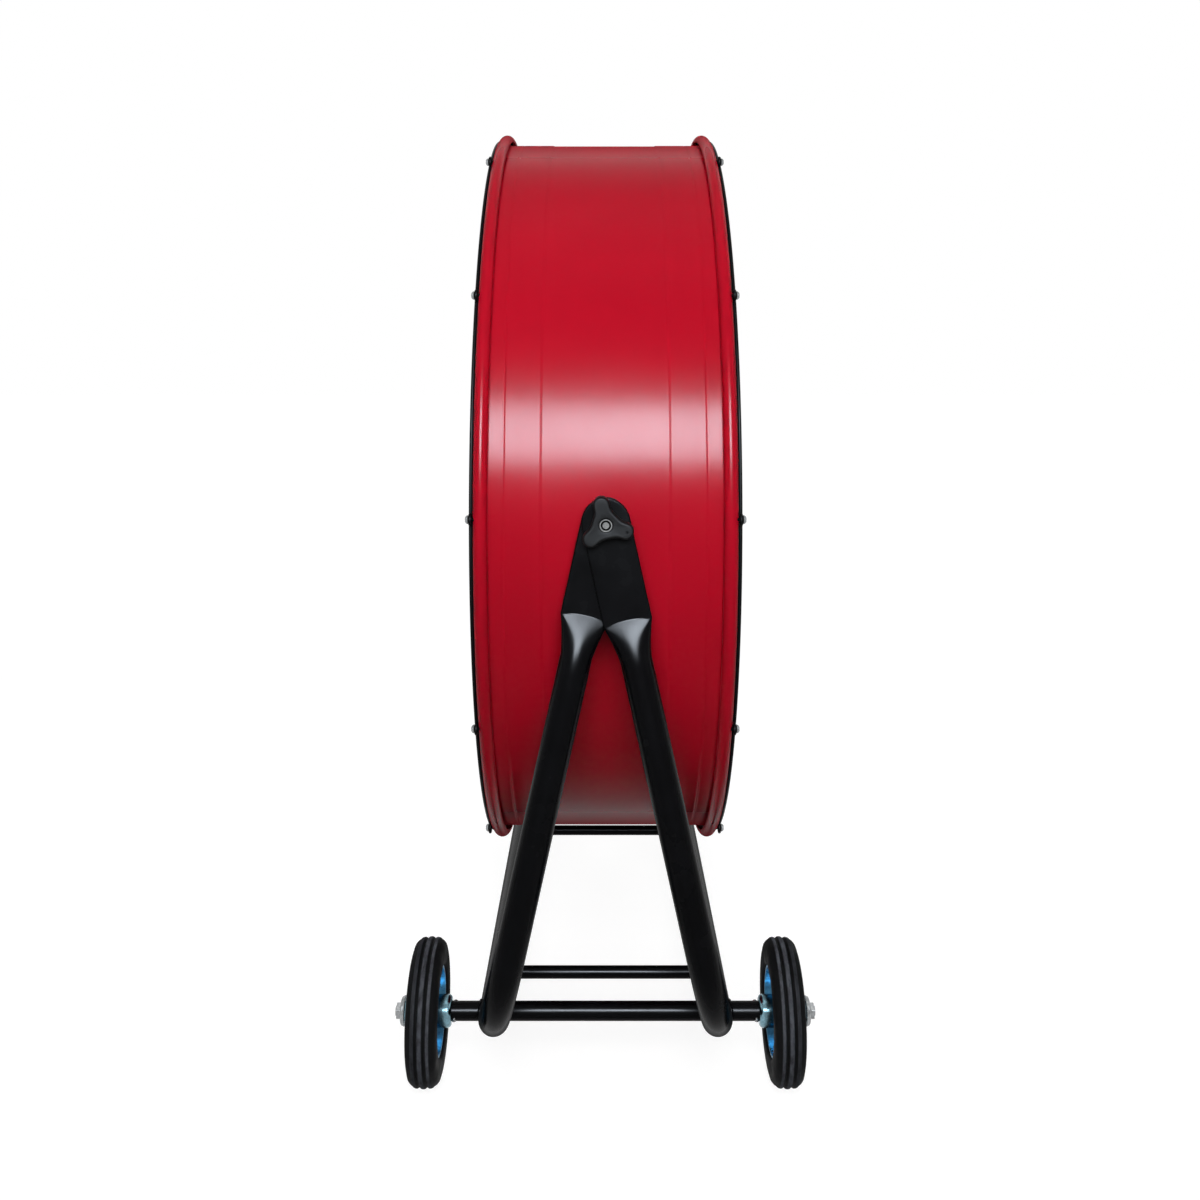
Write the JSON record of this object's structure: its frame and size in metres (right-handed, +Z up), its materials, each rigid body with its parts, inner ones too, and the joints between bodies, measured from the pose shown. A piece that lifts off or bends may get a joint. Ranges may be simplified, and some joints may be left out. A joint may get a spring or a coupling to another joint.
{
  "type": "drum fan",
  "caption": "Belt-driven drum fan: a red sheet-steel barrel with wire guards that tilts between two tube legs on a stand with two wheels, feet and a lift handle.",
  "frame": {"origin": "on the floor, under the middle of the drum and half way between the two legs' planes", "axes": "+X along the drum's axis in the direction of the air, +Y across the stand away from the wheels, +Z up"},
  "size_m": [0.55, 1.2368, 1.3162],
  "materials": {
    "stand_black": "gloss black powder coat",
    "drum_red": "semi-gloss red powder coat",
    "guard_black": "satin black powder coat",
    "zinc": "bright zinc plating",
    "blue_zinc": "blue-white zinc plating",
    "tyre_rubber": "solid moulded rubber",
    "foot_rubber": "matt moulded rubber",
    "knob_plastic": "fine matt moulding",
    "blade_aluminium": "rolled sheet",
    "cast_grey": "painted casting",
    "pulley_grey": "turned casting",
    "belt_rubber": "wrapped belt",
    "motor_grey": "grey paint",
    "iron_core": "laminated core",
    "box_plastic": "moulded box",
    "dial_plate": "brushed plate"
  },
  "bodies": {
    "stand": {"left_frame_tube": "stand_black", "right_frame_tube": "stand_black", "near_crossbar": "stand_black", "middle_crossbar": "stand_black", "handle_bar": "stand_black", "handle_grip": "foot_rubber", "foot_posts": "stand_black", "rubber_feet": "foot_rubber", "axle_tube": "stand_black", "axle_studs": "zinc", "axle_end_washers": "zinc", "axle_end_nuts": "zinc", "axle_stop_pins": "zinc"},
    "left_wheel": {"left_wheel_tyre": "tyre_rubber", "left_wheel_rim": "blue_zinc", "left_wheel_hub": "blue_zinc"},
    "right_wheel": {"right_wheel_tyre": "tyre_rubber", "right_wheel_rim": "blue_zinc", "right_wheel_hub": "blue_zinc"},
    "drum": {"drum_shell": "drum_red", "front_guard": "guard_black", "rear_guard": "guard_black", "guard_screws": "zinc", "pivot_bosses": "guard_black", "pivot_bolts": "zinc", "pivot_washers": "zinc", "front_brace": "guard_black", "rear_brace": "guard_black", "front_bearing_housing": "cast_grey", "rear_bearing_housing": "cast_grey", "bearing_inserts": "zinc", "bearing_bolts": "zinc", "drive_belt": "belt_rubber", "motor_casing": "motor_grey", "motor_front_cover": "motor_grey", "motor_rear_cover": "motor_grey", "motor_stator": "iron_core", "motor_cradle": "guard_black", "motor_bolts": "zinc", "motor_terminal_box": "box_plastic", "switch_box": "box_plastic", "switch_dial": "dial_plate", "cable_gland": "box_plastic", "motor_cable": "belt_rubber", "cable_clips": "zinc"},
    "fan": {"fan_shaft": "zinc", "fan_hub": "cast_grey", "fan_blade_1": "blade_aluminium", "fan_blade_2": "blade_aluminium", "fan_blade_3": "blade_aluminium", "fan_blade_4": "blade_aluminium", "blade_rivets": "zinc", "fan_pulley": "pulley_grey"},
    "rotor": {"motor_shaft": "iron_core", "motor_pulley": "pulley_grey"},
    "near_knob": {"near_knob": "knob_plastic", "near_knob_insert": "zinc"},
    "far_knob": {"far_knob": "knob_plastic", "far_knob_insert": "zinc"},
    "switch_knob": {"switch_knob": "knob_plastic"}
  },
  "joints": [
    {"name": "drum_tilt", "type": "hinge", "parent": "stand", "child": "drum", "pos_m": [0, 0, 0.747], "axis": [0, 1, 0], "range_deg": [-90, 90]},
    {"name": "fan_spin", "type": "hinge", "parent": "drum", "child": "fan", "pos_m": [0.088, 0, 0.747], "axis": [1, 0, 0], "continuous": true},
    {"name": "motor_spin", "type": "hinge", "parent": "drum", "child": "rotor", "pos_m": [-0.041, 0, 0.317], "axis": [1, 0, 0], "continuous": true},
    {"name": "left_wheel_spin", "type": "hinge", "parent": "stand", "child": "left_wheel", "pos_m": [-0.2325, -0.462, 0.089], "axis": [1, 0, 0], "continuous": true},
    {"name": "right_wheel_spin", "type": "hinge", "parent": "stand", "child": "right_wheel", "pos_m": [0.2325, -0.462, 0.089], "axis": [1, 0, 0], "continuous": true},
    {"name": "near_knob_turn", "type": "hinge", "parent": "drum", "child": "near_knob", "pos_m": [0, -0.607, 0.747], "axis": [0, -1, 0], "range_deg": [0, 360]},
    {"name": "far_knob_turn", "type": "hinge", "parent": "drum", "child": "far_knob", "pos_m": [0, 0.607, 0.747], "axis": [0, 1, 0], "range_deg": [0, 360]},
    {"name": "switch_turn", "type": "hinge", "parent": "drum", "child": "switch_knob", "pos_m": [-0.036, 0.52281, 0.94769], "axis": [0, 0.9336, 0.3584], "range_deg": [0, 90]}
  ],
  "couplings": [
    {"joint": "motor_spin", "follows": "fan_spin", "ratio": 3.1818}
  ]
}
